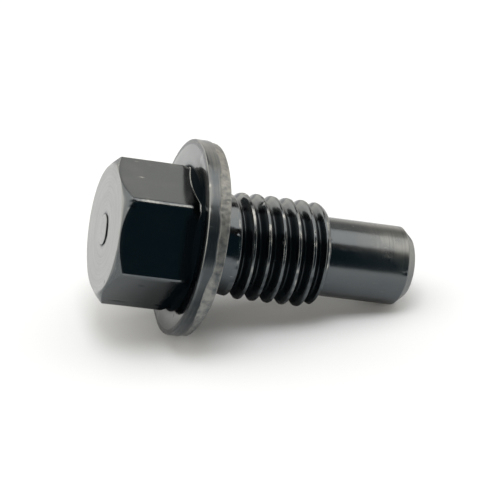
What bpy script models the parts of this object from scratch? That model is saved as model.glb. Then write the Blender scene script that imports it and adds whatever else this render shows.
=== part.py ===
"""Oil drain plug: a hex head, a round sealing flange, a metric thread and a plain pilot.

The plug is one piece of steel. It is turned about its own axis, which is local Z here, with
the flange's sealing face at zero, the head above it and the thread below. An empty then lays
it down as it comes to rest, on the flange's rim and on the pilot's end. Lengths are metres.
"""

import math

import bmesh
import bpy
from mathutils import Matrix

MM = 0.001
NAME = "drain_plug"

# Hex head
ACROSS_FLATS = 14.0 * MM
HEAD_HEIGHT = 8.68 * MM
CORNER_RADIUS = 0.35 * MM
END_DISC_RADIUS = 6.96 * MM
CORNER_CHAMFER_ANGLE = math.radians(43.0)
HEEL_RADIUS = 7.86 * MM
HEEL_LENGTH = 0.85 * MM
HEX_TURN = math.radians(21.8)
PIP_RADIUS = 1.75 * MM
PIP_HEIGHT = 0.18 * MM
PIP_EDGE_RADIUS = 0.08 * MM

# Flange, blanked from the head side, so its rim is smooth first and broken off last
FLANGE_RADIUS = 10.8 * MM
FLANGE_THICKNESS = 2.36 * MM
FLANGE_EDGE_RADIUS = 0.16 * MM
SMOOTH_BAND = 1.2 * MM
RIM_TAPER = 0.17 * MM
REAR_CHAMFER = 0.08 * MM

# Shank and thread, M12 x 1.75, right-hand
MAJOR_RADIUS = 5.92 * MM
PITCH = 1.75 * MM
CREST_FLAT = 0.3 * MM
THREAD_DEPTH = 1.0 * MM
FLANK_ANGLE = math.radians(30.0)
SHANK_RADIUS = 5.4 * MM
SEAT_FILLET = 0.6 * MM
RELIEF_LENGTH = 1.9 * MM
RUN_OUT_LENGTH = 2.6 * MM
FULL_THREAD_LENGTH = 7.7 * MM
LEAD_LENGTH = 1.25 * MM
LEAD_DROP = 0.5 * MM
SHOULDER_LENGTH = 0.35 * MM
GROOVE_START = 2.2 * MM
GROOVE_FADE_TURNS = 0.8
CREST_AT_TOP = 4.27 * MM

# Pilot
PILOT_RADIUS = 4.47 * MM
PILOT_LENGTH = 10.56 * MM
TIP_CHAMFER = 1.0 * MM

# How finely round shapes are divided, and how far a cutting shape overlaps
SEGMENTS = 60
CORNER_SEGMENTS = 3
ARC_STEPS = 4
OVERLAP = 0.8 * MM
GROOVE_CLEARANCE = 0.12 * MM
WELD_DISTANCE = 0.001 * MM

# Heights along the axis that follow from the sizes above
HEAD_TOP = FLANGE_THICKNESS + HEAD_HEIGHT
CORNER_REACH = ACROSS_FLATS / 2 / math.cos(math.radians(30.0))
RUN_OUT_END = RELIEF_LENGTH + RUN_OUT_LENGTH
FULL_THREAD_END = RUN_OUT_END + FULL_THREAD_LENGTH
LEAD_END = FULL_THREAD_END + LEAD_LENGTH
SHOULDER_END = LEAD_END + SHOULDER_LENGTH
TIP = SHOULDER_END + PILOT_LENGTH
RIM_REAR_RADIUS = FLANGE_RADIUS - RIM_TAPER
TIP_RADIUS = PILOT_RADIUS - TIP_CHAMFER


def clear_scene():
    """Remove whatever the file opened with."""
    for item in list(bpy.data.objects):
        bpy.data.objects.remove(item, do_unlink=True)


def make_collection(name):
    """Link a new collection to the scene."""
    collection = bpy.data.collections.new(name)
    bpy.context.scene.collection.children.link(collection)
    return collection


def black_steel():
    """Black oxide on steel, lightly oiled."""
    material = bpy.data.materials.new("black_oxide_steel")
    material.use_nodes = True
    shader = material.node_tree.nodes["Principled BSDF"]
    shader.inputs["Base Color"].default_value = (0.055, 0.056, 0.058, 1.0)
    shader.inputs["Roughness"].default_value = 0.32
    shader.inputs["Metallic"].default_value = 0.75
    material.diffuse_color = (0.055, 0.056, 0.058, 1.0)
    return material


def arc(centre_radius, centre_height, radius, start, end):
    """Points of an arc in the profile's plane, from start to end in degrees."""
    points = []
    for step in range(ARC_STEPS + 1):
        angle = math.radians(start + (end - start) * step / ARC_STEPS)
        across = centre_radius + radius * math.cos(angle)
        points.append((across, centre_height + radius * math.sin(angle)))
    return points


def add_object(name, mesh, collection, parent, turn=0.0):
    """Make an object of a mesh, turned about the plug's axis and held by the empty."""
    item = bpy.data.objects.new(name, mesh)
    collection.objects.link(item)
    item.parent = parent
    item.rotation_euler.z = turn
    return item


def add_turned(name, profile, collection, parent):
    """Turn a profile of (radius, height) points, top to bottom, about the plug's axis."""
    mesh = bpy.data.meshes.new(name)
    points = [(radius, 0.0, height) for radius, height in profile]
    edges = [(i, i + 1) for i in range(len(points) - 1)]
    mesh.from_pydata(points, edges, [])
    # Half a step of turn puts a facet, not a corner, straight down
    item = add_object(name, mesh, collection, parent, turn=math.pi / SEGMENTS)
    screw = item.modifiers.new("turn", "SCREW")
    screw.axis = "Z"
    screw.angle = 2 * math.pi
    screw.steps = SEGMENTS
    screw.render_steps = SEGMENTS
    screw.use_merge_vertices = True
    screw.merge_threshold = WELD_DISTANCE
    return item


def as_cutter(item):
    """Show an object as wire only: it shapes another and isn't part of the plug."""
    item.display_type = "WIRE"
    item.hide_render = True
    return item


def add_boolean(item, other, operation):
    """Combine an object with another."""
    boolean = item.modifiers.new(operation.lower() + "_" + other.name, "BOOLEAN")
    boolean.operation = operation
    boolean.solver = "EXACT"
    boolean.object = other


def flange_profile():
    """Flange from the head side to the shank: rolled edge, smooth band, tapered break, seat."""
    edge = FLANGE_EDGE_RADIUS
    points = [(0.0, FLANGE_THICKNESS)]
    points += arc(FLANGE_RADIUS - edge, FLANGE_THICKNESS - edge, edge, 90.0, 0.0)
    points.append((FLANGE_RADIUS, FLANGE_THICKNESS - SMOOTH_BAND))
    points.append((RIM_REAR_RADIUS, REAR_CHAMFER))
    points.append((RIM_REAR_RADIUS - REAR_CHAMFER, 0.0))
    points += arc(SHANK_RADIUS + SEAT_FILLET, -SEAT_FILLET, SEAT_FILLET, 90.0, 180.0)
    return points


def shank_profile():
    """Shank below the flange: relief, run-out, full thread, lead, shoulder, pilot and tip."""
    return [
        (SHANK_RADIUS, -RELIEF_LENGTH),
        (MAJOR_RADIUS, -RUN_OUT_END),
        (MAJOR_RADIUS, -FULL_THREAD_END),
        (MAJOR_RADIUS - LEAD_DROP, -LEAD_END),
        (PILOT_RADIUS, -SHOULDER_END),
        (PILOT_RADIUS, -(TIP - TIP_CHAMFER)),
        (TIP_RADIUS, -TIP),
        (0.0, -TIP),
    ]


def head_envelope_profile():
    """Round form that trims the hex: pip, end face, corner chamfer and the corners' heel."""
    edge = PIP_EDGE_RADIUS
    reach = CORNER_REACH + OVERLAP
    drop = (reach - END_DISC_RADIUS) * math.tan(CORNER_CHAMFER_ANGLE)
    heel_slope = (CORNER_REACH - HEEL_RADIUS) / HEEL_LENGTH
    heel_start = FLANGE_THICKNESS + (reach - HEEL_RADIUS) / heel_slope
    points = [(0.0, HEAD_TOP + PIP_HEIGHT)]
    points += arc(PIP_RADIUS - edge, HEAD_TOP + PIP_HEIGHT - edge, edge, 90.0, 0.0)
    points.append((PIP_RADIUS, HEAD_TOP))
    points.append((END_DISC_RADIUS, HEAD_TOP))
    points.append((reach, HEAD_TOP - drop))
    points.append((reach, heel_start))
    points.append((HEEL_RADIUS, FLANGE_THICKNESS))
    points.append((HEEL_RADIUS, FLANGE_THICKNESS - OVERLAP))
    points.append((0.0, FLANGE_THICKNESS - OVERLAP))
    return points


def hex_bar_mesh():
    """Hexagon bar with rounded corners, longer than the head at both ends."""
    bottom = FLANGE_THICKNESS - 2 * OVERLAP
    top = HEAD_TOP + 2 * OVERLAP
    mesh = bpy.data.meshes.new("hex_bar")
    shape = bmesh.new()
    bmesh.ops.create_cone(
        shape,
        cap_ends=True,
        segments=6,
        radius1=CORNER_REACH,
        radius2=CORNER_REACH,
        depth=top - bottom,
        matrix=Matrix.Translation((0.0, 0.0, (top + bottom) / 2)),
    )
    corners = []
    for edge in shape.edges:
        rise = abs(edge.verts[0].co.z - edge.verts[1].co.z)
        if rise > OVERLAP:
            corners.append(edge)
    # The bevel's width is measured along the flats, from the corner to where the arc starts
    width = CORNER_RADIUS * math.tan(math.radians(30.0))
    bmesh.ops.bevel(
        shape,
        geom=corners,
        offset=width,
        segments=CORNER_SEGMENTS,
        profile=0.5,
        affect="EDGES",
    )
    shape.to_mesh(mesh)
    shape.free()
    return mesh


def groove_root_radius(turns):
    """Radius of the groove's root: it comes in from outside over the first part of a turn."""
    root = MAJOR_RADIUS - THREAD_DEPTH
    share = min(turns / GROOVE_FADE_TURNS, 1.0)
    return root + (1.0 - share) * (THREAD_DEPTH + GROOVE_CLEARANCE / 2)


def groove_section(angle):
    """Four corners of the groove's section at an angle from its start, going round the axis."""
    turns = angle / (2 * math.pi)
    root = groove_root_radius(turns)
    outer = MAJOR_RADIUS + GROOVE_CLEARANCE
    root_half = (PITCH - CREST_FLAT) / 2 - THREAD_DEPTH * math.tan(FLANK_ANGLE)
    outer_half = root_half + (outer - root) * math.tan(FLANK_ANGLE)
    height = -GROOVE_START - PITCH * turns
    # Crests lie half a pitch from the groove's middle, at CREST_AT_TOP where the angle is zero.
    # Looking along the shank away from the head, the thread advances clockwise.
    phase = (GROOVE_START - CREST_AT_TOP + PITCH / 2) / PITCH * 2 * math.pi
    around = -(phase + angle)
    cos, sin = math.cos(around), math.sin(around)
    corners = []
    for radius, offset in (
        (root, root_half),
        (root, -root_half),
        (outer, -outer_half),
        (outer, outer_half),
    ):
        corners.append((radius * cos, radius * sin, height + offset))
    return corners


def groove_mesh():
    """Helical groove as a loft of sections, closed by a flat face at each end."""
    length = SHOULDER_END + PITCH / 2 - GROOVE_START
    count = math.ceil(length / PITCH * SEGMENTS)
    sections = [groove_section(2 * math.pi * i / SEGMENTS) for i in range(count + 1)]
    mesh = bpy.data.meshes.new("thread_groove")
    shape = bmesh.new()
    rings = [[shape.verts.new(point) for point in section] for section in sections]
    for ring, following in zip(rings, rings[1:]):
        for side in range(4):
            turn = (side + 1) % 4
            shape.faces.new((ring[side], ring[turn], following[turn], following[side]))
    shape.faces.new(rings[0])
    shape.faces.new(rings[-1])
    bmesh.ops.recalc_face_normals(shape, faces=shape.faces)
    shape.to_mesh(mesh)
    shape.free()
    return mesh


def add_rest_pose():
    """Empty that lays the plug on the flange's rear rim and the end of the pilot."""
    flat = math.cos(math.pi / SEGMENTS)
    rim = RIM_REAR_RADIUS * flat
    pilot = PILOT_RADIUS * flat
    pilot_end = TIP - TIP_CHAMFER
    tilt = math.atan2(rim - pilot, pilot_end + REAR_CHAMFER)
    tip_reach = TIP * math.cos(tilt) + TIP_RADIUS * math.sin(tilt)
    head_reach = HEAD_TOP * math.cos(tilt) + END_DISC_RADIUS * math.sin(tilt)
    empty = bpy.data.objects.new("rest_pose", None)
    bpy.context.scene.collection.objects.link(empty)
    empty.rotation_euler.y = tilt - math.pi / 2
    empty.location.x = (head_reach - tip_reach) / 2
    empty.location.z = rim * math.cos(tilt) - REAR_CHAMFER * math.sin(tilt)
    return empty


def build():
    """Make the plug: turned body, thread cut into it, hex head joined to it."""
    clear_scene()
    plug_parts = make_collection("oil_drain_plug")
    tools = make_collection("oil_drain_plug_cutters")
    rest = add_rest_pose()

    envelope = add_turned("head_envelope", head_envelope_profile(), tools, rest)
    # A corner of the bar as made lies at 30 degrees
    hex_turn = HEX_TURN - math.radians(30.0)
    head = add_object("hex_head", hex_bar_mesh(), tools, rest, turn=hex_turn)
    add_boolean(head, envelope, "INTERSECT")
    groove = add_object("thread_groove", groove_mesh(), tools, rest)
    for tool in (envelope, head, groove):
        as_cutter(tool)

    plug = add_turned(NAME, flange_profile() + shank_profile(), plug_parts, rest)
    add_boolean(plug, groove, "DIFFERENCE")
    add_boolean(plug, head, "UNION")
    plug.data.materials.append(black_steel())
    bpy.context.view_layer.update()
    return plug


build()
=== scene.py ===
"""Dressed model of an oil drain plug, laid out as a Blender add-on.

The plug is one closed surface, worked out with numpy around its own axis. A point of it has a
radius, a depth along the axis (zero at the flange's sealing face, growing towards the tip) and
an angle around the axis (zero at the top of the lying plug, growing towards the front).
"""

import math

import bpy
import numpy as np
from bpy.props import FloatProperty, FloatVectorProperty, PointerProperty
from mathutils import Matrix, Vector


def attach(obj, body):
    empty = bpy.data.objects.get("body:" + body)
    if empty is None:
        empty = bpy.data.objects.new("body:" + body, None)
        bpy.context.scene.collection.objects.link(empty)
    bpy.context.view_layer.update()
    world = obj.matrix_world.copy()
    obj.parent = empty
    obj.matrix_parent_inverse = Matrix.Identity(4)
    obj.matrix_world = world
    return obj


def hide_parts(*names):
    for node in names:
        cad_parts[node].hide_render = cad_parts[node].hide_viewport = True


bl_info = {
    "name": "Oil drain plug",
    "version": (1, 0, 0),
    "blender": (4, 5, 0),
    "location": "View3D > Sidebar > Drain Plug",
    "description": "Flanged hex drain plug of black oxide steel, with its stage",
    "category": "Object",
}

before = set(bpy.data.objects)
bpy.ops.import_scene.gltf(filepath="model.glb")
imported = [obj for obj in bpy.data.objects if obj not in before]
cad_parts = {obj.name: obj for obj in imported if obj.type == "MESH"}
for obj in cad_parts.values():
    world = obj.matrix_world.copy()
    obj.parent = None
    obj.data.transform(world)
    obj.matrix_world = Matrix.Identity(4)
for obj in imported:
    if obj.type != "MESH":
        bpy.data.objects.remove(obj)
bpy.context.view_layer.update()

MM = 0.001
NODE = "drain_plug"
BODY = "root"

# How the plug lies: tilt of its axis, and where the sealing face's middle is
TILT = math.radians(14.705)
SEAT_CENTRE = np.array([-5.9989, 0.0, 10.2474]) * MM
UP = np.array([math.sin(TILT), 0.0, math.cos(TILT)])
FRONT = np.array([0.0, -1.0, 0.0])
TIPWARDS = np.array([math.cos(TILT), 0.0, -math.sin(TILT)])
# Height of the axis over the world's origin, square to the axis, in millimetres
AXIS_HEIGHT = float(SEAT_CENTRE @ UP) / MM

# Angle of the hex's first corner, and how far the hex lies off the plug's axis
HEX_TURN = -21.8
HEX_SECTOR = 60.0
HEX_OFFSET = 0.09 * MM
HEX_OFFSET_ANGLE = 155.0
# The corner that is worn rounder than the others
WORN_CORNER = HEX_TURN + HEX_SECTOR

# The head's foot: a low cone that rises from the flange's face inside this radius
FOOT_RADIUS = 8.0 * MM
FOOT_SLOPE = 0.5

# Half a sector of columns: close together at a hex corner, then even up to the flat's middle
CORNER_STEPS = (0.0, 0.5, 1.0, 1.5, 2.2, 3.2)
FLAT_STEPS = 15

# Where the helical rows start and end
HELIX_START = 1.6 * MM
HELIX_END = 13.95 * MM
# Where the groove starts, and over what part of a turn it gets its full depth
GROOVE_START = 1.9 * MM
GROOVE_FADE_TURNS = 0.8
# Depth of one crest at the top of the plug, which sets where the helix starts
CREST_AT_TOP = 4.27 * MM
# Step along the axis for each step out on the thread's sides, which stand at 30 degrees
SIDE_RUN = math.tan(math.radians(30.0))

# Rings left by turning, in millimetres: their spacing and height
FACE_RING_SPACING = 0.31
FACE_RING_HEIGHT = 0.0022
SHANK_RING_SPACING = 0.22
SHANK_RING_HEIGHT = 0.0015

# Looks that go with each point of the surface, and their places in an array of looks
# The last look carries wear and dirt, and also painted highlights and painted shade
LOOKS = ("tone", "matte", "film", "wear_and_painted_light")
TONE, MATTE, FILM, WEAR_AND_PAINTED_LIGHT = range(len(LOOKS))
# Looks of the plain shank
SHANK_LOOK = {"matte": 0.12, "film": 0.2}


def rise(low, high, value):
    """Smooth rise from 0 to 1 between low and high: 3t^2 - 2t^3, where t goes from 0 to 1."""
    t = np.clip((value - low) / (high - low), 0.0, 1.0)
    return t * t * (3.0 - 2.0 * t)


def soft_min(a, b, width):
    """Lower of two heights, rounded off where they cross: (a + b - sqrt((a - b)^2 + w^2)) / 2."""
    return (a + b - np.sqrt((a - b) ** 2 + width**2)) / 2.0


def lattice(ix, iy, iz, seed):
    """Pseudo-random value in 0 to 1 at whole-number points: the fraction of a scaled sine."""
    value = np.sin(ix * 127.1 + iy * 311.7 + iz * 74.7 + seed * 53.3) * 43758.5453
    return value - np.floor(value)


def noise(points, scale, seed):
    """Value noise from -1 to 1: lattice values mixed by smooth weights, cells of a given size."""
    cell = points / scale
    base = np.floor(cell)
    part = rise(0.0, 1.0, cell - base)
    total = 0.0
    for corner in range(8):
        offset = np.array([corner & 1, corner >> 1 & 1, corner >> 2 & 1], float)
        weight = np.prod(np.where(offset > 0, part, 1.0 - part), axis=-1)
        at = base + offset
        total = total + weight * lattice(at[..., 0], at[..., 1], at[..., 2], seed)
    return total * 2.0 - 1.0


def ring_noise(angle, waves, seed):
    """Noise around the axis that closes on itself: value noise on a circle of that many cells."""
    radius = waves / (2.0 * math.pi)
    turn = np.radians(angle)
    circle = np.stack([radius * np.cos(turn), radius * np.sin(turn), turn * 0.0 + seed], axis=-1)
    return noise(circle, 1.0, seed)


def ring_bump(angle, at, width):
    """Bump of height 1 at one angle around the axis: exp(-d^2), d the difference over width."""
    off = (angle - at + 180.0) % 360.0 - 180.0
    return np.exp(-((off / width) ** 2))


def to_world(radius, depth, angle):
    """Place of a point: seat's middle + depth along the axis + radius out at that angle."""
    turn = np.radians(angle)
    outward = np.cos(turn)[..., None] * UP + np.sin(turn)[..., None] * FRONT
    return SEAT_CENTRE + depth[..., None] * TIPWARDS + radius[..., None] * outward


def column_angles():
    """Angles of the columns: six equal sectors, each closer together at its hex corner."""
    even = np.linspace(CORNER_STEPS[-1], HEX_SECTOR / 2, FLAT_STEPS + 1)[1:]
    half = np.concatenate([CORNER_STEPS, even])
    sector = np.concatenate([half, HEX_SECTOR - half[-2:0:-1]])
    turns = HEX_TURN + HEX_SECTOR * np.arange(6)
    return (turns[:, None] + sector[None, :]).ravel()


def split_columns(angles):
    """Twice as many columns: the given angles and the ones halfway between them."""
    following = np.append(angles[1:], angles[0] + 360.0)
    return np.stack([angles, (angles + following) / 2.0], axis=1).ravel()


def hex_radius(angle, across_flats, corner_radius):
    """Reach of a hexagon with round corners: a straight flat, then a circle at the corner."""
    apothem = across_flats / 2.0
    half = HEX_SECTOR / 2
    off_flat = np.abs((angle - HEX_TURN) % HEX_SECTOR - half)
    flat = apothem / np.cos(np.radians(off_flat))
    centre = (apothem - corner_radius) / math.cos(math.radians(half))
    bend = np.radians(half - off_flat)
    across = np.sqrt(np.maximum(corner_radius**2 - (centre * np.sin(bend)) ** 2, 0.0))
    slope = (apothem - corner_radius) * math.tan(math.radians(half)) / apothem
    start = np.degrees(np.arctan(slope))
    return np.where(off_flat > start, centre * np.cos(bend) + across, flat)


def head_reach(sizes, angle):
    """Reach of the head's sides from the plug's axis: the hexagon's, moved a little sideways."""
    corner = sizes.corner_radius * (1.0 + ring_bump(angle, WORN_CORNER, 8.0))
    hexagon = hex_radius(angle, sizes.across_flats, corner)
    return hexagon + HEX_OFFSET * np.cos(np.radians(angle - HEX_OFFSET_ANGLE))


def step_towards(point, other, trim):
    """Places a trim away from one control point towards another, at most 0.45 of the way."""
    way = other - point
    span = np.maximum(np.linalg.norm(way, axis=-1, keepdims=True), 1e-9)
    return point + way / span * np.minimum(trim, span * 0.45)


class Profile:
    """Polyline of control points, each with its rounding, swept over the columns.

    A control point is a radius and a depth per column. Round corners are quadratic curves
    (1-t)^2 A + 2t(1-t) V + t^2 B between the points A and B that lie a trim before and after
    the corner V.
    """

    def __init__(self, angles):
        self.angles = angles
        self.points = []

    def add(self, radius, depth, trim=0.0, steps=1, tone=0.0, matte=0.0, film=1.0, wear_and_painted_light=0.0):
        """Add a control point. Steps is how many parts the straight before it is cut into."""
        ones = np.ones_like(self.angles)
        place = np.stack([radius * ones, depth * ones], axis=-1)
        look = np.stack([tone * ones, matte * ones, film * ones, wear_and_painted_light * ones], axis=-1)
        self.points.append((place, trim, steps, look))

    def rows(self, arc_steps=3):
        """Rows of radius, depth, angle and looks, from the first control point to the last.

        Wear and painted highlights show on the round corners only, dirt and painted shade (below
        zero) on the straights too.
        """
        start = self.points[0][0]
        places = [start]
        looks = [self.points[0][3]]
        last = len(self.points) - 1
        for index in range(1, last + 1):
            point, trim, steps, look = self.points[index]
            before, _, _, before_look = self.points[index - 1]
            arrive = step_towards(point, before, trim)
            straight = look.copy()
            straight[:, WEAR_AND_PAINTED_LIGHT] = np.minimum(look[:, WEAR_AND_PAINTED_LIGHT], 0.0)
            for step in range(1, steps + 1):
                places.append(start + (arrive - start) * (step / steps))
                looks.append(straight)
            if steps > 1:
                looks[-steps] = (straight + before_look) / 2
                looks[-steps][:, WEAR_AND_PAINTED_LIGHT] = straight[:, WEAR_AND_PAINTED_LIGHT]
            start = arrive
            if trim > 0.0 and index < last:
                leave = step_towards(point, self.points[index + 1][0], trim)
                for step in range(1, arc_steps + 1):
                    t = step / arc_steps
                    places.append((1 - t) ** 2 * arrive + 2 * t * (1 - t) * point + t * t * leave)
                    faded = look.copy()
                    faded[:, WEAR_AND_PAINTED_LIGHT] *= 1.0 if step < arc_steps else 0.4
                    looks.append(faded)
                start = leave
        place = np.array(places)
        angle = np.broadcast_to(self.angles, place.shape[:-1])
        return place[..., 0], place[..., 1], angle, np.array(looks)


class Surface:
    """Closed surface built up from rings of points, each ring joined to the next."""

    def __init__(self):
        self.points = []
        self.looks = []
        self.faces = []
        self.count = 0

    def add(self, points, looks):
        """Store points and looks of any grid shape, and return their numbers in that shape."""
        shape = points.shape[:-1]
        size = int(np.prod(shape))
        self.points.append(points.reshape(-1, 3))
        self.looks.append(looks.reshape(-1, looks.shape[-1]))
        numbers = np.arange(self.count, self.count + size).reshape(shape)
        self.count += size
        return numbers

    def join(self, upper, lower):
        """Quads between rings of as many points each, row by row where there are several."""
        right = np.roll(upper, -1, axis=-1)
        lower_right = np.roll(lower, -1, axis=-1)
        quads = np.stack([upper, right, lower_right, lower], axis=-1)
        self.faces.append(quads.reshape(-1, 4))

    def join_finer(self, coarse, fine, flip):
        """Three triangles per column between a ring and one with twice as many points."""
        right = np.roll(coarse, -1)
        first, middle = fine[0::2], fine[1::2]
        third = np.roll(first, -1)
        corners = ([coarse, middle, first], [coarse, right, middle], [right, third, middle])
        triangles = np.concatenate([np.stack(three, axis=-1) for three in corners])
        self.faces.append(triangles[:, ::-1] if flip else triangles)

    def close(self, ring, depth, look, flip):
        """Fan of triangles from a ring to a single point on the axis, at a depth."""
        point = to_world(np.zeros(1), np.array([depth]), np.zeros(1))
        middle = self.add(point, np.array([look]))[0]
        right = np.roll(ring, -1)
        centre = np.full_like(ring, middle)
        triangles = np.stack([centre, right, ring], axis=-1)
        self.faces.append(triangles[:, ::-1] if flip else triangles)

    def make(self, name):
        """Put the points and faces into a mesh, with its looks as point attributes."""
        mesh = bpy.data.meshes.new(name)
        points = np.concatenate(self.points)
        faces = [face for group in self.faces for face in group.tolist()]
        mesh.from_pydata(points.tolist(), [], faces)
        looks = np.concatenate(self.looks)
        for index, label in enumerate(LOOKS):
            layer = mesh.attributes.new(label, "FLOAT", "POINT")
            layer.data.foreach_set("value", looks[:, index].astype(np.float32))
        mesh.polygons.foreach_set("use_smooth", [True] * len(mesh.polygons))
        mesh.validate()
        mesh.update()
        return mesh


# Marks of use, and one painted glint: depth along the axis, angle, radius, their half-lengths along,
# around and out, how deep they are dented, and how much lighter or darker they are
MARKS = (
    (-8.55, 5.0, 7.2, 0.45, 0.16, 0.6, 0.02, 0.95),
    (-8.2, 9.0, 7.1, 0.25, 0.12, 0.6, 0.015, 0.8),
    (-4.3, -19.8, 7.9, 0.4, 0.2, 0.6, 0.06, 0.5),
    (-10.05, 39.0, 7.95, 0.24, 0.18, 0.4, 0.07, -1.2),
    (-10.12, 42.8, 7.9, 0.28, 0.16, 0.4, 0.07, -1.2),
    (-10.25, 44.6, 7.8, 0.25, 0.1, 0.4, 0.0, 0.8),
    (-9.77, 39.8, 7.95, 0.2, 0.1, 0.4, 0.0, 0.7),
    (-8.7, 149.8, 7.9, 0.8, 0.14, 0.6, 0.05, -0.4),
    (-6.5, 147.8, 7.8, 0.16, 0.14, 0.5, 0.06, -0.8),
    (-4.1, 148.8, 7.8, 0.18, 0.15, 0.5, 0.07, -0.8),
    (-7.3, 113.0, 7.2, 0.12, 0.12, 0.5, 0.04, -0.6),
    (-11.04, 125.0, 6.5, 0.14, 0.1, 0.12, 0.04, -0.8),
    (-2.36, 141.0, 8.7, 0.3, 0.07, 0.22, 0.04, -1.0),
    (-2.3, 30.0, 10.7, 0.2, 0.3, 0.3, 0.05, 0.9),
    (-2.3, 45.0, 10.7, 0.15, 0.25, 0.3, 0.04, 0.8),
    # Painted glint on the shank, raised a little and lighter
    (2.66, 53.7, 5.45, 0.16, 0.18, 0.3, -0.13, 0.6),
    (7.86, 54.0, 5.8, 0.18, 0.3, 0.5, 0.12, 0.9),
    (5.9, 5.0, 5.9, 0.25, 0.2, 0.4, 0.05, 0.7),
    (10.2, 8.0, 5.8, 0.4, 0.5, 0.5, 0.1, 0.3),
    (9.96, 152.0, 5.8, 0.16, 0.16, 0.4, 0.05, 0.6),
    (15.3, 52.0, 4.5, 0.22, 0.12, 0.3, -0.05, 0.6),
    (16.4, 51.5, 4.5, 0.3, 0.1, 0.3, -0.04, 0.5),
    (20.7, 54.4, 4.5, 0.35, 0.12, 0.3, -0.05, 0.6),
    (23.1, 73.0, 4.3, 0.16, 0.14, 0.4, 0.12, -0.9),
)


def mark_fields(radius, depth, angle):
    """Dent and shade of every mark at each point: exp(-d^2), d measured in the mark's lengths."""
    dent = np.zeros_like(radius)
    shade = np.zeros_like(radius)
    for at, turn, out, along, around, outward, deep, light in MARKS:
        off = np.radians((angle - turn + 180.0) % 360.0 - 180.0)
        square = ((depth / MM - at) / along) ** 2
        square = square + (radius / MM * np.sin(off) / around) ** 2
        square = square + ((radius / MM * np.cos(off) - out) / outward) ** 2
        near = np.exp(-square) * (np.cos(off) > 0.0)
        dent = dent + deep * near
        shade = shade + light * near
    return dent * MM, shade


def profile_normal(radius, depth):
    """Outward direction in the profile's plane: the rows' direction turned a quarter turn."""
    along_radius = np.gradient(radius, axis=0)
    along_depth = np.gradient(depth, axis=0)
    length = np.maximum(np.hypot(along_radius, along_depth), 1e-12)
    return along_depth / length, -along_radius / length


def weather(radius, depth, angle, look, relief):
    """Push points in and out along the profile's normal: marks and a part's own relief."""
    dent, shade = mark_fields(radius, depth, angle)
    out_radius, out_depth = profile_normal(radius, depth)
    push = relief - dent
    look = look.copy()
    look[..., WEAR_AND_PAINTED_LIGHT] += shade
    return radius + out_radius * push, depth + out_depth * push, look


def turning_rings(depth):
    """Rings that turning left on the shank, in millimetres: a sine wave along the axis."""
    return SHANK_RING_HEIGHT * np.sin(depth / MM * 2.0 * math.pi / SHANK_RING_SPACING)


def shank_sheen(angle):
    """How much lighter the shank is along its side, between the top and the front."""
    return 0.12 * ring_bump(angle, 25.0, 18.0)


def head_profile(sizes, angles):
    """Head from its middle outwards: pip, end face, corner chamfer, flats, heel, burr, foot."""
    top = -(sizes.flange_thickness + sizes.head_height)
    front = -sizes.flange_thickness
    # The pip is a little off centre, and drawn in on its front side
    pip = sizes.pip_radius + 0.16 * MM * np.cos(np.radians(angles - 115.0))
    pip = pip - 0.36 * MM * ring_bump(angles, 62.0, 45.0)
    pip_top = top - sizes.pip_height
    reach = head_reach(sizes, angles)
    # The chamfer falls away by its slope from the end disc, more at the worn corner
    slope = 0.74 + 0.16 * ring_bump(angles, WORN_CORNER, 25.0)
    drop = np.maximum((reach - sizes.end_disc_radius) * slope, 0.05 * MM)
    drop = drop + 0.02 * MM * ring_noise(angles, 40, 3) * rise(0.0, 0.4 * MM, drop)
    disc = np.minimum(sizes.end_disc_radius, reach - 0.05 * MM)
    foot_reach = np.minimum(reach, sizes.heel_radius)
    foot = front - FOOT_SLOPE * (FOOT_RADIUS - foot_reach)
    heel = foot - sizes.heel_length
    # Burr that was raised along the foot of the upper flat
    around = (angles + 180.0) % 360.0 - 180.0
    burred = rise(-27.0, -20.0, around) * rise(43.0, 37.0, around)
    ragged = ring_noise(angles, 60, 9) + 0.8 * ring_noise(angles, 170, 13)
    burr = burred * (0.06 + 0.04 * ragged) * MM
    behind = foot_reach + 0.08 * MM

    profile = Profile(angles)
    face = {"tone": 0.4, "matte": 0.5}
    side = {"tone": 0.02, "matte": 0.1, "film": 0.2}
    profile.add(0.25 * MM, pip_top, **face)
    profile.add(pip, pip_top, 0.03 * MM, 6, **face)
    # Painted shade on the pip's side wall
    profile.add(pip, top, 0.02 * MM, matte=0.1, film=0.0, wear_and_painted_light=-1.0)
    profile.add(disc, top, 0.03 * MM, 24, wear_and_painted_light=0.2, **face)
    shaded = -0.12 * ring_bump(angles, WORN_CORNER, 35.0)
    profile.add(reach, top + drop, 0.035 * MM, 5, tone=0.05, matte=0.4, film=0.15, wear_and_painted_light=shaded)
    profile.add(reach, top + 2.1 * MM, 0.0, 8, **side)
    profile.add(reach, heel, 0.2 * MM, 10, **side)
    profile.add(foot_reach, foot - 0.1 * MM, 0.03 * MM, 5, **side)
    bright = burred * (0.8 + 0.5 * ragged)
    lip = {"tone": 0.3 * burred, "matte": 0.1 + 0.2 * burred, "film": 0.2 * burred}
    profile.add(foot_reach + burr, foot - 0.4 * burr, 0.02 * MM, wear_and_painted_light=bright, **lip)
    # Painted shade in the corner at the head's foot, behind the burr and on the foot cone
    profile.add(behind, foot + 0.04 * MM, matte=0.15, film=0.0, wear_and_painted_light=-1.05)
    profile.add(FOOT_RADIUS, front, 0.1 * MM, 2, matte=0.1, film=0.0, wear_and_painted_light=-1.05)
    return profile


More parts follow.
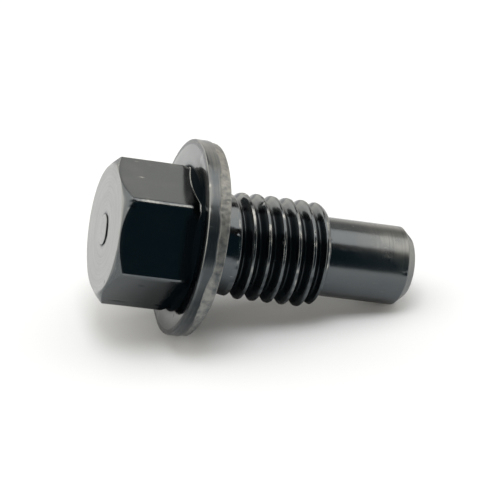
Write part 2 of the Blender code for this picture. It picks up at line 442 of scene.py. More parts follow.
def flange_profile(sizes, angles):
    """Flange: flat front face, rolled edge, smooth band, ragged break line, torn band, seat."""
    front = -sizes.flange_thickness
    # The rim reaches out more towards the top, and is flattened low down in front
    upward = np.cos(np.radians(angles))
    flattened = ring_bump(angles, 124.0, 16.0)
    rim = sizes.flange_radius + 0.08 * MM * (1.0 + upward)
    rim = rim + 0.14 * MM * ring_bump(angles, -20.0, 25.0) - 0.2 * MM * flattened
    torn = rim - 0.08 * MM
    rear = rim - sizes.rim_taper + 0.035 * MM * (1.0 - upward)
    rear = rear - 0.12 * MM * (ring_bump(angles, -5.0, 25.0) + flattened)
    # Depth where the smooth band ends and the tearing starts
    break_line = front + (
        1.33
        + 0.16 * ring_noise(angles, 9, 21)
        + 0.14 * ring_noise(angles, 26, 22)
        + 0.06 * ring_noise(angles, 80, 23)
        - 0.25 * ring_bump(angles, 100.0, 14.0)
    ) * MM
    worn = 0.4 * ring_bump(angles, 62.0, 35.0)
    profile = Profile(angles)
    profile.add(FOOT_RADIUS + 0.25 * MM, front, tone=0.05, matte=0.05, film=0.6)
    profile.add(rim - 1.2 * MM, front, 0.5 * MM, 5, tone=0.2, matte=0.1, film=0.9)
    profile.add(rim, front + 0.11 * MM, 0.2 * MM, 5, tone=0.14, matte=0.45, film=0.4, wear_and_painted_light=worn)
    profile.add(rim, break_line - 0.03 * MM, 0.0, 6, tone=0.08, matte=0.5, film=0.25)
    profile.add(torn, break_line + 0.06 * MM, tone=0.8, matte=0.95, film=0.1)
    profile.add(rear, -0.09 * MM, 0.03 * MM, 8, tone=0.8, matte=0.95, film=0.1, wear_and_painted_light=0.7)
    profile.add(rear - 0.09 * MM, 0.0, 0.03 * MM, tone=0.5, matte=0.4, film=0.3, wear_and_painted_light=0.5)
    profile.add(sizes.shank_radius + 0.85 * MM, 0.0, 0.0, 8, tone=0.12, matte=0.25, film=0.5)
    return profile


def add_flange(surface, sizes, angles):
    """Flange with its torn grain, streaks and dirt. Returns its first and last ring's numbers."""
    front = -sizes.flange_thickness
    radius, depth, angle, look = flange_profile(sizes, angles).rows()
    place = to_world(radius, depth, angle) / MM
    # The torn band is the mattest, the smooth band comes next
    grain = look[..., MATTE] > 0.8
    streak = (look[..., MATTE] > 0.4) & ~grain
    relief = grain * (0.035 * noise(place, 0.42, 31) + 0.02 * noise(place, 0.19, 32) - 0.02)
    relief = relief + streak * 0.006 * ring_noise(angle, 150, 33)
    relief = (relief + 0.004 * noise(place, 1.6, 34)) * MM
    # Lighter and darker grains of the torn band
    look[..., TONE] += grain * (0.4 * noise(place, 0.5, 35) + 0.35 * noise(place, 0.2, 36))
    # Painted dark reflection of the head on the face close to it, then dark patches at the torn
    # band's rear
    painted_dark_reflection = rise(10.1 * MM, 9.2 * MM, radius) * rise(front + 0.3 * MM, front, depth)
    look[..., WEAR_AND_PAINTED_LIGHT] -= 1.1 * painted_dark_reflection * ring_bump(angle, 30.0, 24.0)
    patches = ring_bump(angle, 85.0, 30.0) * rise(-1.0 * MM, -0.4 * MM, depth)
    strip = ring_bump(angle, 118.0, 20.0) * rise(-0.5 * MM, -0.3 * MM, depth)
    look[..., TONE] -= grain * (0.8 * patches * np.maximum(noise(place, 0.9, 38), 0.0) + 0.4 * strip)
    # The rim runs out along the axis, its rear face more than its front
    off_axis = rise(7.6 * MM, 10.4 * MM, radius) * radius
    rearness = rise(front, 0.0, depth)
    turn = np.radians(angle)
    depth = depth + off_axis * np.cos(turn) * (0.008 + 0.017 * rearness)
    forward = np.sqrt(np.maximum(np.sin(turn), 0.0)) * (0.0165 - 0.003 * rearness)
    depth = depth - off_axis * (forward + 0.0093 * (1.0 - rearness))
    # Streaks round the smooth band, with painted shade low down in front and a painted sheen at the
    # top
    look[..., TONE] += streak * 0.12 * ring_noise(angle, 90, 37)
    look[..., WEAR_AND_PAINTED_LIGHT] -= 0.42 * streak * ring_bump(angle, 106.0, 22.0)
    look[..., TONE] += 0.08 * streak * ring_bump(angle, 15.0, 25.0)
    radius, depth, look = weather(radius, depth, angle, look, relief)
    rows = surface.add(to_world(radius, depth, angle), look)
    surface.join(rows[:-1], rows[1:])
    return rows[0], rows[-1]


def shank_envelope(sizes, depth):
    """Radius over the thread's crests: relief, run-out rise, full thread, lead, shoulder, pilot."""
    shank = sizes.shank_radius
    major = sizes.major_radius
    pilot = sizes.pilot_radius
    at = np.array([0.0, 1.6, 4.5, 12.6, 13.1, 13.45, 13.8, 30.0]) * MM
    radii = [shank, shank, major, major, major - 0.2 * MM, major - 0.4 * MM, pilot, pilot]
    spread = 0.05 * MM
    total = 0.0
    for shift in (-1.0, -0.5, 0.0, 0.5, 1.0):
        total = total + np.interp(depth + shift * spread, at, radii)
    return total / 5.0


def thread_radius(sizes, depth, from_groove, turns):
    """Radius of the thread: a groove with straight sides at 30 degrees and rounded ends.

    Root + the height over it of the side, which rises 1 / tan 30 for each step away from the
    root's flat. Over the first part of a turn the root comes in from outside.
    """
    root = sizes.major_radius - sizes.thread_depth
    fade = 1.0 - np.clip(turns / GROOVE_FADE_TURNS, 0.0, 1.0)
    root = root + fade * (sizes.thread_depth + 0.03 * MM)
    half = (sizes.pitch - sizes.crest_flat) / 2.0 - sizes.thread_depth * SIDE_RUN
    side = root + (np.abs(from_groove) - half) / SIDE_RUN
    groove = -soft_min(-root, -side, 0.35 * MM)
    return soft_min(shank_envelope(sizes, depth), groove, 0.07 * MM)


def pitch_steps(sizes):
    """Row positions over one pitch, from the middle of a groove, closer at root and crest."""
    half = sizes.pitch / 2.0
    crest = half - sizes.crest_flat / 2.0
    side = np.array([0.0, 0.07, 0.14, 0.21, 0.3, 0.42, 0.54]) * MM
    top = np.array([crest - 0.08 * MM, crest, crest + 0.05 * MM, half - 0.05 * MM])
    positive = np.concatenate([side, top])
    return np.concatenate([[-half], -positive[:0:-1], positive])


def thread_grid(sizes, angles):
    """Helical rows of the thread: depth = the row's depth at the top + pitch * turn."""
    steps = pitch_steps(sizes)
    per_pitch = len(steps)
    first = HELIX_START - sizes.pitch
    start_groove = CREST_AT_TOP + sizes.pitch / 2.0
    begin = math.floor((first - start_groove) / sizes.pitch)
    end = math.ceil((HELIX_END + sizes.pitch - start_groove) / sizes.pitch) + 1
    grooves = np.arange(begin, end)
    rows = (start_groove + grooves[:, None] * sizes.pitch + steps[None, :]).ravel()
    from_groove = np.tile(steps, len(grooves))[:, None] * np.ones((1, len(angles)))
    turn = (angles - angles[0]) / 360.0
    # The seam lies at the first column, so its turn is counted from there
    lead_in = sizes.pitch * angles[0] / 360.0
    depth = rows[:, None] + lead_in + sizes.pitch * turn[None, :]
    turns = (depth - from_groove - GROOVE_START) / sizes.pitch
    return depth, from_groove, turns, per_pitch


def join_helix(surface, numbers, end_ring, per_pitch):
    """Quads between helical rows, and triangles where a row runs into a plain ring.

    The column after the last is the first one, a pitch further on.
    """
    wrapped = np.full((numbers.shape[0], 1), end_ring[0])
    wrapped[:-per_pitch, 0] = numbers[per_pitch:, 0]
    closed = np.concatenate([numbers, wrapped], axis=1)
    corners = np.stack(
        [closed[:-1, :-1], closed[:-1, 1:], closed[1:, 1:], closed[1:, :-1]], axis=-1
    ).reshape(-1, 4)
    left = corners[:, 0] == corners[:, 3]
    right = corners[:, 1] == corners[:, 2]
    surface.faces.append(corners[~left & ~right])
    surface.faces.append(corners[left & ~right][:, :3])
    surface.faces.append(corners[~left & right][:, [0, 1, 3]])


def add_thread(surface, sizes, angles):
    """Thread as helical rows between two plain rings. Returns those rings' numbers."""
    depth, from_groove, turns, per_pitch = thread_grid(sizes, angles)
    angle = np.broadcast_to(angles, depth.shape)
    radius = thread_radius(sizes, depth, from_groove, turns)
    place = to_world(radius, depth, angle) / MM
    below_crest = shank_envelope(sizes, depth) - radius
    crest = rise(0.12 * MM, 0.02 * MM, below_crest) * rise(-0.1, 0.3, turns)
    unthreaded = turns < 0.0
    relief = (0.006 * noise(place, 0.5, 41) + 0.01 * noise(place, 1.1, 42)) * MM
    relief = relief - crest * np.maximum(noise(place, 0.35, 43) - 0.35, 0.0) * 0.05 * MM
    relief = relief + turning_rings(depth) * unthreaded * MM
    # Rubbed edges of the crests, with a painted highlight towards the front. Painted shade in the
    # groove, least on the topside, and on the underside
    edge = rise(0.1, 0.24, np.abs(from_groove) / sizes.pitch - 0.2) * crest
    rubbed_and_highlit = 0.15 + 0.3 * ring_bump(angle, 48.0, 30.0) + 0.55 * noise(place, 0.6, 45)
    painted_groove_shade = rise(0.15 * MM, 0.6 * MM, below_crest)
    topside = ring_bump(angle, -20.0, 55.0)
    painted_underside_shade = ring_bump(angle, 165.0, 40.0)
    look = np.zeros((*depth.shape, len(LOOKS)))
    look[..., TONE] = 0.03 * crest + unthreaded * shank_sheen(angle)
    look[..., MATTE] = 0.06 + 0.15 * crest + 0.05 * noise(place, 0.8, 44)
    look[..., FILM] = 0.2 + 0.05 * topside
    look[..., WEAR_AND_PAINTED_LIGHT] = edge * rubbed_and_highlit - 0.5 * painted_groove_shade * (1.0 - 0.75 * topside) - 0.7 * painted_underside_shade
    radius, depth_out, look = weather(radius, depth, angle, look, relief)

    # A row beyond a plain ring runs along it
    slack = 0.004 * MM
    at_start = depth <= HELIX_START + slack
    at_end = depth >= HELIX_END - slack
    inside = ~(at_start | at_end)
    ones = np.ones(len(angles))
    plain = ones[:, None] * [SHANK_LOOK.get(label, 0.0) for label in LOOKS]
    start_place = to_world(ones * sizes.shank_radius, ones * HELIX_START, angles)
    end_place = to_world(ones * sizes.pilot_radius, ones * HELIX_END, angles)
    start_ring = surface.add(start_place, plain)
    end_ring = surface.add(end_place, plain)
    numbers = np.where(at_start, start_ring[None, :], end_ring[None, :])
    numbers[inside] = surface.add(to_world(radius, depth_out, angle)[inside], look[inside])
    join_helix(surface, numbers, end_ring, per_pitch)
    return start_ring, end_ring


def add_head(surface, sizes, angles):
    """Head with its lathe rings, rubbed corners and dirt. Returns its last ring's numbers."""
    radius, depth, angle, look = head_profile(sizes, angles).rows()
    place = to_world(radius, depth, angle) / MM
    end_face = rise(0.2 * MM, 0.0, depth - depth.min() - sizes.pip_height)
    lathe = np.sin(radius / MM * 2.0 * math.pi / FACE_RING_SPACING + 0.6 * noise(place, 2.0, 5))
    relief = end_face * (FACE_RING_HEIGHT * lathe + 0.006 * noise(place, 1.3, 6))
    uneven = 0.008 * noise(place, 1.9, 7) + 0.002 * noise(place, 0.6, 8)
    relief = relief + (1.0 - end_face) * uneven
    look[..., TONE] += 0.05 * noise(place, 1.4, 10)
    # Rubbed corners of the hex, the worn one most, with a painted highlight along them
    off_corner = (angle - HEX_TURN + HEX_SECTOR / 2) % HEX_SECTOR - HEX_SECTOR / 2
    along = rise(-10.4 * MM, -9.9 * MM, depth) * rise(-2.7 * MM, -3.3 * MM, depth)
    most_worn = ring_bump(angle, WORN_CORNER, 8.0)
    rub_and_highlight = 0.3 + 0.25 * most_worn + 0.3 * noise(place, 0.9, 11)
    corner_width = 1.5 + 0.9 * most_worn
    look[..., WEAR_AND_PAINTED_LIGHT] += rub_and_highlight * along * np.exp(-((off_corner / corner_width) ** 2))
    # Painted shade and dirt at the foot of the front flats, and lighter painted shade on the flats
    # that face down
    near_side = rise(200.0, 162.0, angle)
    foot = rise(40.0, 52.0, angle) * near_side
    dirt_and_painted_shade = foot * rise(-4.1 * MM, -3.2 * MM, depth - 0.15 * MM * noise(place, 0.8, 12))
    under = rise(99.0, 104.0, angle) * near_side
    darkened = under * rise(-9.5 * MM, -3.5 * MM, depth)
    look[..., WEAR_AND_PAINTED_LIGHT] -= 0.95 * dirt_and_painted_shade + 0.35 * darkened
    radius, depth, look = weather(radius, depth, angle, look, relief * MM)
    rows = surface.add(to_world(radius, depth, angle), look)
    surface.join(rows[:-1], rows[1:])
    surface.close(rows[0], depth[0, 0], (0.24, 0.5, 0.9, 0.0), flip=False)
    return rows[-1]


def add_neck(surface, sizes, angles):
    """Plain shank from the seat to the thread. Returns its first and last ring's numbers."""
    neck = Profile(angles)
    neck.add(sizes.shank_radius + 0.6 * MM, 0.0, tone=0.1, matte=0.2, film=0.4)
    neck.add(sizes.shank_radius, 0.0, 0.55 * MM, **SHANK_LOOK)
    neck.add(sizes.shank_radius, HELIX_START - 0.15 * MM, 0.0, 10, **SHANK_LOOK)
    radius, depth, angle, look = neck.rows(arc_steps=6)
    radius, depth, look = weather(radius, depth, angle, look, turning_rings(depth) * MM)
    look[..., TONE] += shank_sheen(angle)
    rows = surface.add(to_world(radius, depth, angle), look)
    surface.join(rows[:-1], rows[1:])
    return rows[0], rows[-1]


def add_pilot(surface, sizes, angles, thread_end):
    """Pilot with its chamfered end, joined on to the thread's last ring."""
    end = sizes.tip_depth
    chamfer_start = end - sizes.tip_chamfer_length
    turned = {"tone": 0.2, "matte": 0.5, "film": 0.4}
    edge = {"tone": 0.03, "matte": 0.12, "film": 0.2, "wear_and_painted_light": 0.3}
    pilot = Profile(angles)
    pilot.add(sizes.pilot_radius, HELIX_END + 0.12 * MM, matte=0.1, film=0.2)
    pilot.add(sizes.pilot_radius, chamfer_start, 0.05 * MM, 24, **edge)
    pilot.add(sizes.pilot_radius - sizes.tip_chamfer, end, 0.1 * MM, 6, **turned)
    pilot.add(0.3 * MM, end, 0.0, 9, **turned)
    radius, depth, angle, look = pilot.rows()
    place = to_world(radius, depth, angle) / MM
    # Lighter and duller towards the tip on its upper side, with painted shade along its underside
    # and a darker streak along its top
    worn = rise(15.5 * MM, 23.0 * MM, depth) * (0.7 + 0.4 * noise(place, 0.9, 51))
    worn = worn * rise(85.0, 55.0, angle)
    outer = rise(1.0 * MM, 4.0 * MM, radius)
    look[..., TONE] += (0.02 + 0.55 * worn) * outer
    look[..., MATTE] += (0.12 + 0.3 * worn) * outer
    look[..., WEAR_AND_PAINTED_LIGHT] -= 1.0 * ring_bump(angle, 156.0, 11.0) + 0.3 * ring_bump(angle, 7.0, 9.0)
    relief = 0.004 * noise(place, 1.2, 52) + 0.003 * noise(place, 0.45, 53)
    radius, depth, look = weather(radius, depth, angle, look, relief * MM)
    rows = surface.add(to_world(radius, depth, angle), look)
    surface.join(thread_end, rows[0])
    surface.join(rows[:-1], rows[1:])
    surface.close(rows[-1], depth[-1, 0], (0.2, 0.5, 0.4, 0.0), flip=True)


def build_plug(sizes):
    """The whole plug, ring by ring from the middle of the head to the middle of the tip."""
    surface = Surface()
    angles = column_angles()
    head_end = add_head(surface, sizes, angles)
    face_start, seat_end = add_flange(surface, sizes, split_columns(angles))
    surface.join_finer(head_end, face_start, flip=False)
    thread_start, thread_end = add_thread(surface, sizes, angles)
    neck_start, neck_end = add_neck(surface, sizes, angles)
    surface.join_finer(neck_start, seat_end, flip=True)
    surface.join(neck_end, thread_start)
    add_pilot(surface, sizes, angles, thread_end)
    return surface.make("drain_plug_steel")


class Num:
    """A shader value that Python's operators work on: each one adds a Math node."""

    def __init__(self, nodes, socket):
        self.nodes = nodes
        self.socket = socket

    def __add__(self, other):
        return self.nodes.math("ADD", self, other)

    def __radd__(self, other):
        return self.nodes.math("ADD", other, self)

    def __sub__(self, other):
        return self.nodes.math("SUBTRACT", self, other)

    def __rsub__(self, other):
        return self.nodes.math("SUBTRACT", other, self)

    def __mul__(self, other):
        return self.nodes.math("MULTIPLY", self, other)

    def __rmul__(self, other):
        return self.nodes.math("MULTIPLY", other, self)

    def __pow__(self, other):
        return self.nodes.math("POWER", self, other)

    def __neg__(self):
        return self.nodes.math("MULTIPLY", self, -1.0)

    def clamp(self, low=0.0, high=1.0):
        """The value, held between low and high."""
        return self.nodes.math("MINIMUM", self.nodes.math("MAXIMUM", self, low), high)

    def step(self, low, high):
        """Smooth rise from 0 to 1 between low and high."""
        inputs = {"Value": self, "From Min": low, "From Max": high}
        return self.nodes.add("ShaderNodeMapRange", {"interpolation_type": "SMOOTHSTEP"}, inputs)


class Nodes:
    """Builds the nodes of one material or world."""

    def __init__(self, tree):
        self.tree = tree
        tree.nodes.clear()

    def add(self, kind, settings=None, inputs=None, output=0):
        """Add a node of a type, with its settings first and then its sockets' values or links."""
        node = self.tree.nodes.new(kind)
        for key, value in (settings or {}).items():
            setattr(node, key, value)
        for key, value in (inputs or {}).items():
            if isinstance(value, Num):
                self.tree.links.new(value.socket, node.inputs[key])
            else:
                node.inputs[key].default_value = value
        return Num(self, node.outputs[output])

    def math(self, operation, *values):
        """One Math node on numbers or shader values."""
        return self.add("ShaderNodeMath", {"operation": operation}, dict(enumerate(values)))

    def mix_colour(self, factor, first, second):
        """Colour between two, by a Mix node."""
        inputs = {0: factor, 6: first, 7: second}
        return self.add("ShaderNodeMix", {"data_type": "RGBA"}, inputs, output=2)

    def attribute(self, name):
        """A value that the mesh carries."""
        return self.add("ShaderNodeAttribute", {"attribute_name": name}, output=2)

    def coordinate(self, vector, axis):
        """One coordinate of a vector: 0 for x, 1 for y, 2 for z."""
        return self.add("ShaderNodeSeparateXYZ", None, {0: vector}, output=axis)

    def noise(self, vector, scale, detail, roughness, distortion=0.0):
        """Noise from 0 to 1."""
        pattern = {"Scale": scale, "Detail": detail, "Roughness": roughness}
        inputs = {"Vector": vector, **pattern, "Distortion": distortion}
        return self.add("ShaderNodeTexNoise", None, inputs)

    def link_output(self, shader, kind="ShaderNodeOutputMaterial"):
        """Send a shader to the material's or the world's output."""
        node = self.tree.nodes.new(kind)
        self.tree.links.new(shader.socket, node.inputs["Surface"])


def rgba(colour):
    """A property's colour with an alpha of one."""
    return (*colour, 1.0)


def new_material(name):
    """An empty material, and what builds its nodes."""
    material = bpy.data.materials.new(name)
    material.use_nodes = True
    return material, Nodes(material.node_tree)


def steel_material(finish):
    """Black oxide steel under oil, with worn edges, torn rim, tool marks, painted highlights and
    painted shade.
    """
    material, nodes = new_material("black_oxide_steel")
    coordinates = nodes.add("ShaderNodeTexCoord", output=3)
    # Millimetres along the plug's own axis: x runs to the tip
    axis_turn = {"Rotation": (0.0, -TILT, 0.0), "Scale": (1000.0, 1000.0, 1000.0)}
    place = nodes.add("ShaderNodeMapping", None, {"Vector": coordinates, **axis_turn})
    stretched = {"Vector": place, "Scale": (0.25, 1.0, 1.0)}
    long_place = nodes.add("ShaderNodeMapping", None, stretched)
    # Streaks around the axis, left by turning: noise over radius and depth, stretched around
    across = nodes.coordinate(place, 1)
    upright = nodes.coordinate(place, 2) - AXIS_HEIGHT
    depth = nodes.coordinate(place, 0)
    out = (across * across + upright * upright) ** 0.5
    turned_inputs = {0: out * 4.0, 1: depth * 4.0, 2: across * 0.12}
    turned_place = nodes.add("ShaderNodeCombineXYZ", None, turned_inputs)
    turned = nodes.noise(turned_place, scale=1.0, detail=3.0, roughness=0.6)
    tone, matte, film, wear_and_painted_light = [nodes.attribute(label) for label in LOOKS]

    cloud = nodes.noise(place, scale=0.35, detail=4.0, roughness=0.6)
    speck = nodes.noise(place, scale=3.2, detail=3.0, roughness=0.6)
    fine = nodes.noise(place, scale=9.0, detail=2.0, roughness=0.6)
    scratch = nodes.noise(long_place, scale=2.4, detail=4.0, roughness=0.65, distortion=0.4)

    # The mattest places are torn, and the less matt ones are turned
    torn = ((matte - 0.6) * 3.0).clamp()
    machined = matte.step(0.3, 0.45) * (1.0 - torn)
    level = tone + (cloud - 0.55) * 0.14 + (speck - 0.52) * (0.1 + torn * 0.6)
    level = level + machined * (turned - 0.5) * 1.2
    level = level.clamp()
    base = nodes.mix_colour(level, rgba(finish.steel_colour), rgba(finish.torn_colour))
    # Rubbed and scraped places show bare steel, and so do the painted highlights
    rubbed_and_highlit = (wear_and_painted_light * (0.55 + speck * 0.9)).step(0.25, 0.95)
    scraped = scratch.step(0.66, 0.74) * 0.35 * (1.0 - torn)
    bared_and_highlit = (rubbed_and_highlit + scraped).clamp()
    base = nodes.mix_colour(bared_and_highlit, base, rgba(finish.bare_and_highlight_colour))
    # Dirt and painted shade share one dark colour
    grime_and_shade = (-wear_and_painted_light).clamp()
    base = nodes.mix_colour(grime_and_shade, base, rgba(finish.grime_and_shade_colour))

    roughness = finish.roughness + matte * 0.42 + (cloud - 0.5) * 0.08 + (fine - 0.5) * 0.05
    roughness = (roughness + grime_and_shade * 0.2 + bared_and_highlit * 0.1).clamp(0.07, 0.95)
    coat = (film * (0.75 + cloud * 0.5) - grime_and_shade * 0.8).clamp()

    grain = speck * (0.1 + torn * 2.4) + fine * (matte * 0.9 + torn) + scratch * 0.15
    grain = grain + machined * turned * 0.5
    relief = {"Height": grain, "Strength": 0.35, "Distance": 0.012 * MM}
    bump = nodes.add("ShaderNodeBump", None, relief)
    oiled_steel = {
        "Base Color": base,
        "Metallic": 1.0,
        "Roughness": roughness,
        "Coat Weight": coat,
        "Coat Roughness": finish.film_roughness,
        "Coat IOR": 1.5,
        "Specular Tint": (0.8, 0.8, 0.8, 1.0),
        "Normal": bump,
    }
    shader = nodes.add("ShaderNodeBsdfPrincipled", None, oiled_steel)
    # Dirt and painted shade also mix in a dull dark coat
    dirt_and_painted_shade = {"Color": rgba(finish.grime_and_shade_colour), "Roughness": 0.5}
    dull = nodes.add("ShaderNodeBsdfDiffuse", None, dirt_and_painted_shade)
    darkened = nodes.add("ShaderNodeMixShader", None, {0: grime_and_shade * 0.9, 1: shader, 2: dull})
    nodes.link_output(darkened)
    return material


# Metres from the origin, between which the paper runs out to plain white
PAPER_EDGE = (0.06, 0.14)
# Sines of the elevations between which the surroundings go dark
DARK_ABOVE = (0.61, 0.7)
WHITE = (1.0, 1.0, 1.0, 1.0)


def floor_material(stage):
    """Pale paper that takes the plug's shadow near it and runs out to plain white."""
    material, nodes = new_material("pale_paper")
    coordinates = nodes.add("ShaderNodeTexCoord", output=3)
    distance = nodes.add("ShaderNodeVectorMath", {"operation": "LENGTH"}, {0: coordinates}, output=1)
    far = distance.step(*PAPER_EDGE)
    dull = {"Color": rgba(stage.floor_colour), "Roughness": 0.4}
    paper = nodes.add("ShaderNodeBsdfDiffuse", None, dull)
    white = nodes.add("ShaderNodeEmission", None, {"Color": WHITE, "Strength": 1.0})
    mixed = nodes.add("ShaderNodeMixShader", None, {0: far, 1: paper, 2: white})
    nodes.link_output(mixed)
    return material


def card_material(stage):
    """Dark card for the plug to reflect, as the unlit room in front of it."""
    material, nodes = new_material("dark_card")
    dim = {"Color": rgba(stage.card_colour), "Strength": 1.0}
    nodes.link_output(nodes.add("ShaderNodeEmission", None, dim))
    return material


def world_material(stage):
    """Even white for the camera. For light and gloss: pale low down, dark above, dim in front."""
    world = bpy.data.worlds.new("plain_white")
    world.use_nodes = True
    nodes = Nodes(world.node_tree)
    direction = nodes.add("ShaderNodeTexCoord", output=0)
    height = nodes.coordinate(direction, 2)
    back = nodes.coordinate(direction, 1)
    side = nodes.coordinate(direction, 0)
    level = height.step(*DARK_ABOVE) * (stage.world_high - stage.world_low) + stage.world_low
    level = level * (1.0 + (-side).step(-0.1, 0.5) * stage.world_side)
    level = level * (stage.world_front + back.step(-0.5, 0.1) * (1.0 - stage.world_front))
    seen = nodes.add("ShaderNodeLightPath", output=0)
    strength = level + seen * (1.0 - level)
    tint = nodes.mix_colour(seen, rgba(stage.world_colour), WHITE)
    shade = nodes.add("ShaderNodeBackground", None, {"Color": tint, "Strength": strength})
    nodes.link_output(shade, "ShaderNodeOutputWorld")
    return world


def length(name, description, default):
    """A size in metres, whose default is given in millimetres."""
    settings = {"min": 0.0, "precision": 5, "subtype": "DISTANCE", "unit": "LENGTH"}
    return FloatProperty(name=name, description=description, default=default * MM, **settings)


def colour(name, description, default):
    """A colour in linear values."""
    settings = {"min": 0.0, "max": 1.0, "size": 3, "subtype": "COLOR"}
    return FloatVectorProperty(name=name, description=description, default=default, **settings)


def share(name, description, default, high=1.0):
    """A plain number."""
    return FloatProperty(name=name, description=description, default=default, min=0.0, max=high)


class PlugSizes(bpy.types.PropertyGroup):
    """Sizes of the plug."""

    across_flats: length("Across flats", "Hex head over two opposite flats", 14.2)
    head_height: length("Head height", "From the flange's front face to the head's end", 8.68)
    corner_radius: length("Corner radius", "Rounding of the hex corners", 0.35)
    end_disc_radius: length("End disc radius", "Flat end inside the corner chamfer", 6.98)
    heel_radius: length("Heel radius", "Reach of the corners where they meet the flange", 7.86)
    heel_length: length("Heel length", "How far up the corners draw in at their foot", 0.85)
    pip_radius: length("Pip radius", "Low round pip in the middle of the end", 1.68)
    pip_height: length("Pip height", "How far the pip stands up", 0.13)
    flange_radius: length("Flange radius", "Reach of the flange's smooth band", 10.8)
    flange_thickness: length("Flange thickness", "From front face to sealing face", 2.36)
    rim_taper: length("Rim taper", "How far the torn band draws in at the rear", 0.17)
    shank_radius: length("Shank radius", "Plain part between flange and thread", 5.4)
    major_radius: length("Thread radius", "Reach of the thread's crests", 5.97)
    pitch: length("Pitch", "Thread's advance in one turn", 1.75)
    crest_flat: length("Crest flat", "Width of a crest", 0.24)
    thread_depth: length("Thread depth", "From crest to root", 1.08)
    pilot_radius: length("Pilot radius", "Plain point beyond the thread", 4.47)
    tip_depth: length("Tip depth", "From the sealing face to the pilot's end", 24.36)
    tip_chamfer: length("Tip chamfer", "How far the pilot's end draws in", 0.98)
    tip_chamfer_length: length("Chamfer length", "Length of the chamfer at the tip", 1.13)


class PlugFinish(bpy.types.PropertyGroup):
    """Colours and gloss of the steel."""

    steel_colour: colour("Steel", "Black oxide finish", (0.083, 0.093, 0.1))
    torn_colour: colour("Torn steel", "Torn and turned places", (0.242, 0.243, 0.227))
    # Bare steel also colours the painted highlights
    bare_and_highlight_colour: colour("Bare steel", "Rubbed edges and scratches", (0.36, 0.36, 0.34))
    # Grime also colours the painted shade
    grime_and_shade_colour: colour("Grime", "Dirt in dents", (0.0022, 0.0042, 0.0056))
    roughness: share("Roughness", "Roughness of the smooth steel", 0.11)
    film_roughness: share("Film roughness", "Roughness of the oil film", 0.08)


class PlugStage(bpy.types.PropertyGroup):
    """Floor, light and camera."""

    floor_colour: colour("Floor", "Paper that the plug lies on", (0.66, 0.683, 0.705))
    card_colour: colour("Dark card", "Unlit side of the room", (0.02, 0.05, 0.065))
    lamp_level: share("Lamp level", "Brightness of the soft light overhead", 2.1, 20.0)
    key_level: share("Key level", "Brightness of the small light in front", 6.7, 50.0)
    world_colour: colour("Surroundings", "Tint of the light from around", (1.0, 0.945, 0.86))
    world_side: share("Side surroundings", "How much brighter they are beyond the head", 0.75, 5.0)
    world_front: share("Front surroundings", "Brightness in front, as a share", 0.5)
    world_low: share("Low surroundings", "Brightness of the surroundings low down", 1.45, 2.0)
    world_high: share("High surroundings", "Brightness of the surroundings higher up", 0.08, 2.0)
    lens: FloatProperty(
        name="Lens", description="Focal length", default=177.77, min=1.0, unit="CAMERA"
    )


def link(item):
    """Put an object into the scene."""
    bpy.context.scene.collection.objects.link(item)
    return item


class PLUG_OT_add_steel_body(bpy.types.Operator):
    """Add the drain plug's steel body: head, flange, thread and pilot in one surface."""

    bl_idname = "plug.add_steel_body"
    bl_label = "Steel Body"

    def execute(self, context):
        mesh = build_plug(context.scene.plug_sizes)
        mesh.materials.append(steel_material(context.scene.plug_finish))
        body = link(bpy.data.objects.new("drain_plug_steel", mesh))
        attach(body, BODY)
        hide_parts(NODE)
        return {"FINISHED"}


def add_flat(name, corners, material):
    """One flat face through the given corners, in metres, as a part of the stage."""
    mesh = bpy.data.meshes.new(name)
    mesh.from_pydata(corners, [], [tuple(range(len(corners)))])
    mesh.update()
    mesh.materials.append(material)
    flat = link(bpy.data.objects.new(name, mesh))
    return flat


def add_card(name, corners, material):
    """Dark card that only shows in the plug's reflections."""
    card = add_flat(name, corners, material)
    card.visible_camera = False
    card.visible_diffuse = False
    card.visible_shadow = False


def add_light(name, size, place, level):
    """Rectangular lamp facing down, whose face gives off an even level."""
    lamp = bpy.data.lights.new(name, "AREA")
    lamp.shape = "RECTANGLE"
    lamp.size = size[0]
    lamp.size_y = size[1]
    lamp.energy = level * math.pi * lamp.size * lamp.size_y
    light = link(bpy.data.objects.new(name, lamp))
    light.location = place
    return light


def look_along(item, direction):
    """Turn a light or a camera so that it faces along a direction."""
    item.rotation_euler = Vector(direction).to_track_quat("-Z", "Y").to_euler()


# The stage, in metres: outlines of the floor and the low card, then the tall card's two ends
FLOOR = ((-3.0, -3.0), (3.0, -3.0), (3.0, 3.0), (-3.0, 3.0))
LOW_CARD = (
    (-0.45, -0.36),
    (-0.45, -0.6),
    (0.45, -0.6),
    (0.45, -0.05),
    (0.09, -0.06),
    (0.025, -0.085),
    (0.01, -0.15),
)
LOW_CARD_LIFT = 0.0002
TALL_CARD = ((-0.42, -0.6), (0.55, -0.42))
TALL_CARD_HEIGHT = 0.62
OVERHEAD_SIZE = (0.75, 0.305)
OVERHEAD_PLACE = (0.02, 0.0175, 0.3)
OVERHEAD_COLOUR = (1.0, 0.965, 0.92)
KEY_SIZE = (0.15, 0.15)
KEY_PLACE = (-0.025, -0.097, 0.36)
CAMERA_PLACE = (-0.05183, -0.23473, 0.14308)
CAMERA_LOOK = (0.18716, 0.85187, -0.48917)
CAMERA_SHIFT = (-0.001, 0.001)


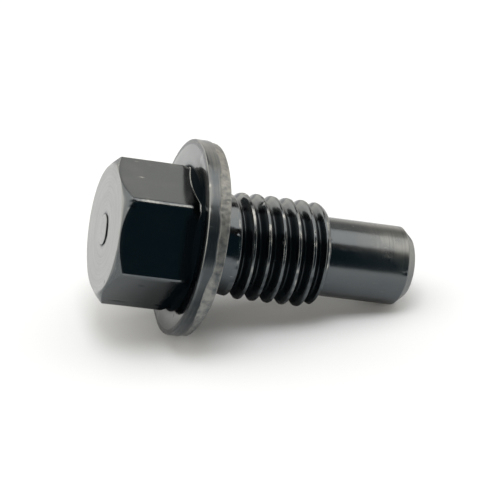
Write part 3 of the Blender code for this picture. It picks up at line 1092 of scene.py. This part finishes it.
class PLUG_OT_add_stage(bpy.types.Operator):
    """Add the floor, the soft light, the dark cards and the camera."""

    bl_idname = "plug.add_stage"
    bl_label = "Stage"

    def execute(self, context):
        stage = context.scene.plug_stage
        add_flat("floor", [(x, y, 0.0) for x, y in FLOOR], floor_material(stage))
        card = card_material(stage)
        add_card("low_card", [(x, y, LOW_CARD_LIFT) for x, y in LOW_CARD], card)
        bottom = [(x, y, 0.0) for x, y in TALL_CARD]
        top = [(x, y, TALL_CARD_HEIGHT) for x, y in reversed(TALL_CARD)]
        add_card("tall_card", bottom + top, card)

        overhead = add_light("overhead_light", OVERHEAD_SIZE, OVERHEAD_PLACE, stage.lamp_level)
        overhead.data.color = OVERHEAD_COLOUR
        key = add_light("key_light", KEY_SIZE, KEY_PLACE, stage.key_level)
        look_along(key, -key.location)
        key.visible_glossy = False

        context.scene.world = world_material(stage)
        context.scene.view_settings.view_transform = "Standard"

        data = bpy.data.cameras.new("camera")
        data.lens = stage.lens
        data.clip_start = 0.01
        data.shift_x, data.shift_y = CAMERA_SHIFT
        camera = link(bpy.data.objects.new("camera", data))
        camera.location = CAMERA_PLACE
        look_along(camera, CAMERA_LOOK)
        context.scene.camera = camera
        return {"FINISHED"}


class PLUG_PT_panel(bpy.types.Panel):
    """Lists the plug's settings and operators."""

    bl_label = "Drain Plug"
    bl_idname = "PLUG_PT_panel"
    bl_space_type = "VIEW_3D"
    bl_region_type = "UI"
    bl_category = "Drain Plug"

    def draw(self, context):
        layout = self.layout
        for group_name in GROUPS:
            group = getattr(context.scene, group_name)
            box = layout.box()
            for name in group.__annotations__:
                box.prop(group, name)
        for operator in OPERATORS:
            layout.operator(operator.bl_idname)


OPERATORS = (PLUG_OT_add_steel_body, PLUG_OT_add_stage)
GROUPS = {"plug_sizes": PlugSizes, "plug_finish": PlugFinish, "plug_stage": PlugStage}
CLASSES = (*GROUPS.values(), *OPERATORS, PLUG_PT_panel)


def register():
    for item in CLASSES:
        bpy.utils.register_class(item)
    for name, group in GROUPS.items():
        setattr(bpy.types.Scene, name, PointerProperty(type=group))


def unregister():
    for name in GROUPS:
        delattr(bpy.types.Scene, name)
    for item in reversed(CLASSES):
        bpy.utils.unregister_class(item)


def main():
    """Add every piece and the stage."""
    register()
    bpy.ops.plug.add_steel_body()
    bpy.ops.plug.add_stage()
    bpy.context.view_layer.update()


if __name__ == "__main__":
    main()
